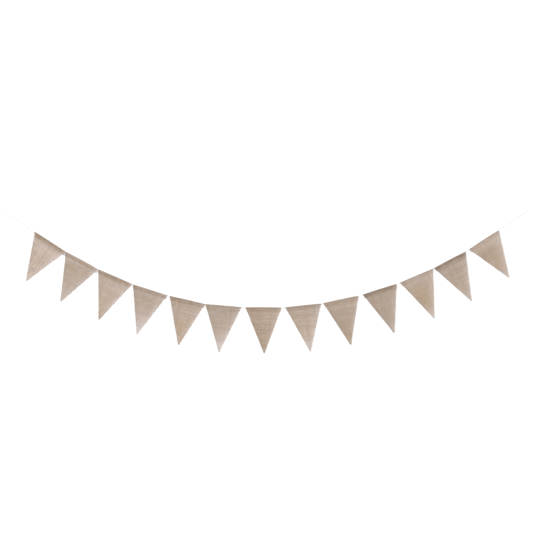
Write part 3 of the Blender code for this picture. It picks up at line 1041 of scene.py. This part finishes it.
def tone(number, across, down, left, right):
    """The tint of each place on a pennant, to be multiplied with the colour of its yarns: the jute's own tone
    together with painted shade and painted light.
    """
    light_and_tone = dict(zip(LIGHT_COLUMNS + GOLD_COLUMNS, TONES_AND_PAINTED_LIGHT[number - 1]))
    across, down, left, right = across / MM, np.abs(down) / MM, left / MM, right / MM
    # The pennant's own tone, with painted shade at the fold band and painted light towards the tip
    lighter = np.interp(down, TONE_DEPTHS, [light_and_tone[word] for word in LIGHT_COLUMNS])
    golden = np.interp(down, GOLD_DEPTHS, [light_and_tone[word] for word in GOLD_COLUMNS])
    # Patches: partly the jute's own tone, partly painted highlights and painted shade of small creases
    for row in PATCHES:
        patch = dict(zip(PATCH_COLUMNS, row))
        if patch["pennant"] == number:
            apart = ((across - patch["across"]) / patch["half_width"]) ** 2
            apart = apart + ((down - patch["down"]) / patch["half_depth"]) ** 2
            lighter = lighter + patch["lighter"] * np.exp(-apart)
            golden = golden + patch["golden"] * np.exp(-apart)
    # Painted shade along the left cut edge and painted light along the right one
    wide = smoothstep(0, EDGES_FULL, right - left)
    edges = (across - left, SHADED_EDGE), (right - across, LIT_EDGE)
    for apart, (reach, edge_lighter, edge_golden) in edges:
        near = wide * (1 - smoothstep(0, reach, apart))
        lighter = lighter + edge_lighter * near
        golden = golden + edge_golden * near
    return [(1 + lighter / 100) * (1 + golden * tint) for tint in GOLD_TINT]


# The jute is uneven in soft blotches and along its yarns in both directions: (repeats per metre, how strong)
UNEVEN = (
    ((75.0, 75.0, 3.0), 0.1),
    ((170.0, 170.0, 5.0), 0.11),
    ((150.0, 12.0, 7.0), 0.14),
    ((12.0, 150.0, 11.0), 0.14),
)
UNEVEN_GOLD = (60.0, 60.0, 13.0)
NOISE_START = (0.3, 0.3, 0.3)
LESS_GREEN = -0.02
LESS_BLUE = -0.07
HESSIAN_SPUN = {"Plies": 3.0, "Lay length": 5.0 * MM, "Streak size": 2.5 * MM, "Fineness": 2.6}
STREAKS_DARK = 1.3
YARNS_DARK = 0.36
DARK_FROM = -0.64
HESSIAN_LIGHT = (0.475, 0.350, 0.257, 1.0)
HESSIAN_DARK = (0.255, 0.18, 0.124, 1.0)


def uneven(tree, flat, scale):
    """Noise over the flat cloth, different on every pennant."""
    return noise_at(tree, arrows(tree, "MULTIPLY_ADD", flat, scale, NOISE_START), 2.0)


def hessian_material():
    """Natural jute: matt, a little silky, each yarn its own shade, with slanting fibres and dark flecks."""
    material, tree, shader = cloth_shader("hessian", roughness=0.92, sheen=0.2)
    fibre = spun(tree, HESSIAN_SPUN)
    dark = times_plus(tree, fibre["Streak"], STREAKS_DARK, DARK_FROM)
    dark = times_plus(tree, attribute(tree, "yarn"), YARNS_DARK, dark)
    flat = attribute(tree, "flat_at", "Vector")
    for scale, amount in UNEVEN:
        dark = times_plus(tree, uneven(tree, flat, scale), amount, dark)
    colour = blended(tree, dark, HESSIAN_LIGHT, HESSIAN_DARK)
    gold = uneven(tree, flat, UNEVEN_GOLD)
    less = [times_plus(tree, gold, share, 1.0) for share in (LESS_GREEN, LESS_BLUE)]
    # The tint brings in painted shade and painted light besides the jute's own tone
    for factor in (arrow(tree, 1.0, *less), attribute(tree, "tint", "Vector")):
        colour = arrows(tree, "MULTIPLY", colour, factor)
    height = plus(tree, fibre["Ridge"], fibre["Streak"])
    set_surface(tree, shader, colour, height, strength=0.8, depth=0.2 * MM)
    return material


# The stitching
# A row of machine stitches closes each casing, through the front and the folded part, near its raw edge.
# Most of the thread is the colour of the cloth, but on three pennants it is bleached and shows paler.
STITCH_ROW = 14.0 * MM
STITCH_SIZES = {"Stitch": 3.2 * MM, "Above": 0.72 * MM, "Below": -0.5 * MM, "Thread radius": 0.26 * MM}
STITCH_STEPS = 8
STITCH_FLAT = 0.3
STITCH_INSET = 2.0 * MM
THREAD_SIDES = 6
THREAD_SPUN = {"Plies": 2.0, "Lay length": 0.9 * MM, "Streak size": 0.5 * MM, "Fineness": 1.0}
THREAD_SHADED = 0.6
BLEACHED = (6, 8, 12)
THREAD_COLOUR = (0.44, 0.33, 0.24, 1.0)
THREAD_SHADE = (0.30, 0.21, 0.15, 1.0)
BLEACHED_COLOUR = (0.80, 0.75, 0.67, 1.0)
BLEACHED_SHADE = (0.58, 0.53, 0.46, 1.0)


def stitch_tree():
    """A thread along the cloth that dives into it between one stitch and the next."""
    tree, given, made = shape_tree("row of stitches", "Cloth", ("Row", "From", "To", *STITCH_SIZES))
    start, end = (arrow(tree, given[word], given["Row"], 0.0) for word in ("From", "To"))
    line = shape(tree, "CurvePrimitiveLine", {"Start": start, "End": end})
    inputs = {"Curve": line, "Length": figure(tree, "DIVIDE", given["Stitch"], STITCH_STEPS)}
    line = measured(tree, shape(tree, "ResampleCurve", inputs, mode="LENGTH"))
    phase = figure(tree, "FRACT", figure(tree, "DIVIDE", named(tree, "along"), given["Stitch"]))
    from_middle = figure(tree, "ABSOLUTE", minus(tree, phase, 0.5))
    inputs = {0: from_middle, 1: STITCH_FLAT, 2: 0.5, 3: given["Above"], 4: given["Below"]}
    lift = add_node(tree, "ShaderNodeMapRange", inputs, interpolation_type="SMOOTHSTEP").outputs[0]
    read = on_cloth(tree, given["Cloth"], shape(tree, "InputPosition"))
    inputs = {"Curve": laid_on(tree, line, read, lift), "Profile Curve": ring(tree, THREAD_SIDES)}
    inputs |= {"Scale": given["Thread radius"], "Fill Caps": True}
    return finished(tree, shape(tree, "CurveToMesh", inputs), given, made)


def thread_material(name, colour, shade):
    """Sewing thread: two fine plies twisted together, darker in stripes along the twist, which is painted
    shade of the plies' relief.
    """
    material, tree, shader = cloth_shader(name, roughness=0.8, sheen=0.1)
    ridge = spun(tree, THREAD_SPUN)["Ridge"]
    mixed = blended(tree, times(tree, ridge, THREAD_SHADED), colour, shade)
    set_surface(tree, shader, mixed, ridge, strength=0.5, depth=0.08 * MM)
    return material


def sewn(number, guide, size, thread):
    """The row of stitches of one pennant, on the front and on the folded part, as one piece."""
    left, right = cut_sides(size, STITCH_ROW, False)
    values = {"From": left + STITCH_INSET, "To": right - STITCH_INSET, "Material": thread, **STITCH_SIZES}
    name = f"stitching_{number:02d}"
    front, back = (made_by(STITCHES, name, guide, Row=row, **values) for row in (STITCH_ROW, -STITCH_ROW))
    joined = bmesh.new()
    joined.from_mesh(front.data)
    joined.from_mesh(back.data)
    joined.to_mesh(front.data)
    joined.free()
    bpy.data.objects.remove(back)
    return front


# The cloth made up
# Every pennant is woven, cut and folded over the string, and its casing is sewn.
HESSIAN = hessian_material()
NATURAL_THREAD = thread_material("natural_thread", THREAD_COLOUR, THREAD_SHADE)
BLEACHED_THREAD = thread_material("bleached_thread", BLEACHED_COLOUR, BLEACHED_SHADE)
WEAVE = weave_tree("plain weave", only_fibres=False)
LOOSE_FIBRES = weave_tree("loose fibres", only_fibres=True)
STITCHES = stitch_tree()
for number, row in enumerate(PENNANTS, 1):
    size = dict(zip(COLUMNS, [value * MM for value in row]))
    guide, flat, area = pennant_guide(number, size)
    pitch, loosest = WEAVE_SIZES["Pitch"], WEAVE_SIZES["Loose right"]
    values = {
        "Columns": math.ceil((flat[0] + 2 * loosest) / pitch) + 1,
        "Rows": math.ceil(flat[1] / pitch),
        "Seed": number,
        "Material": HESSIAN,
        **WEAVE_SIZES,
    }
    piece = made_by(WEAVE, f"hessian_pennant_{number:02d}", guide, **values)
    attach(piece, "root")
    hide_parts(f"pennant_{number:02d}")
    fibres = made_by(LOOSE_FIBRES, f"loose_fibres_{number:02d}", guide, **values)
    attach(fibres, "root")
    stitching = sewn(number, guide, size, BLEACHED_THREAD if number in BLEACHED else NATURAL_THREAD)
    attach(stitching, "root")

# The room
# A white studio: light from all round, a broad soft light from the right, and a pale floor far below.
FLOOR_LEVEL = -2.2
FLOOR_REACH = 4.0
FLOOR_COLOUR = (0.92, 0.92, 0.91, 1.0)
FLOOR_ROUGHNESS = 0.9
WHITE = (1.0, 1.0, 1.0, 1.0)
ROOM_LIGHT = 0.74
BACKDROP_LIGHT = 1.05
KEY_POWER = 1450.0
KEY_SIZE = 4.5
KEY_PLACE = (11.5, -6.6, 2.6)

floor_mesh = bpy.data.meshes.new("floor")
corners = [(-1, -1), (1, -1), (1, 1), (-1, 1)]
corners = [(VIEW_MIDDLE[0] + x * FLOOR_REACH, y * FLOOR_REACH, FLOOR_LEVEL) for x, y in corners]
floor_mesh.from_pydata(corners, [], [(0, 1, 2, 3)])
floor = bpy.data.objects.new("floor", floor_mesh)
bpy.context.scene.collection.objects.link(floor)
pale = bpy.data.materials.new("pale_floor")
pale.use_nodes = True
pale_shader = pale.node_tree.nodes["Principled BSDF"]
pale_shader.inputs["Base Color"].default_value = FLOOR_COLOUR
pale_shader.inputs["Roughness"].default_value = FLOOR_ROUGHNESS
floor_mesh.materials.append(pale)

room = bpy.data.worlds.new("room")
room.use_nodes = True
bpy.context.scene.world = room
sky = room.node_tree
light_all_round = sky.nodes["Background"]
light_all_round.inputs["Color"].default_value = WHITE
light_all_round.inputs["Strength"].default_value = ROOM_LIGHT
backdrop = add_node(sky, "ShaderNodeBackground", {"Color": WHITE, "Strength": BACKDROP_LIGHT})
seen_straight = sky.nodes.new("ShaderNodeLightPath").outputs["Is Camera Ray"]
inputs = {0: seen_straight, 1: light_all_round.outputs[0], 2: backdrop.outputs[0]}
mixed_light = add_node(sky, "ShaderNodeMixShader", inputs).outputs[0]
sky.links.new(mixed_light, sky.nodes["World Output"].inputs[0])

key = bpy.data.lights.new("key", "AREA")
key.energy = KEY_POWER
key.size = KEY_SIZE
key_light = bpy.data.objects.new("key", key)
key_light.location = KEY_PLACE
aim = Vector(KEY_PLACE) - Vector((VIEW_MIDDLE[0], 0.0, VIEW_MIDDLE[1]))
key_light.rotation_euler = aim.to_track_quat("Z", "Y").to_euler()
bpy.context.scene.collection.objects.link(key_light)
bpy.context.scene.view_settings.view_transform = "Standard"
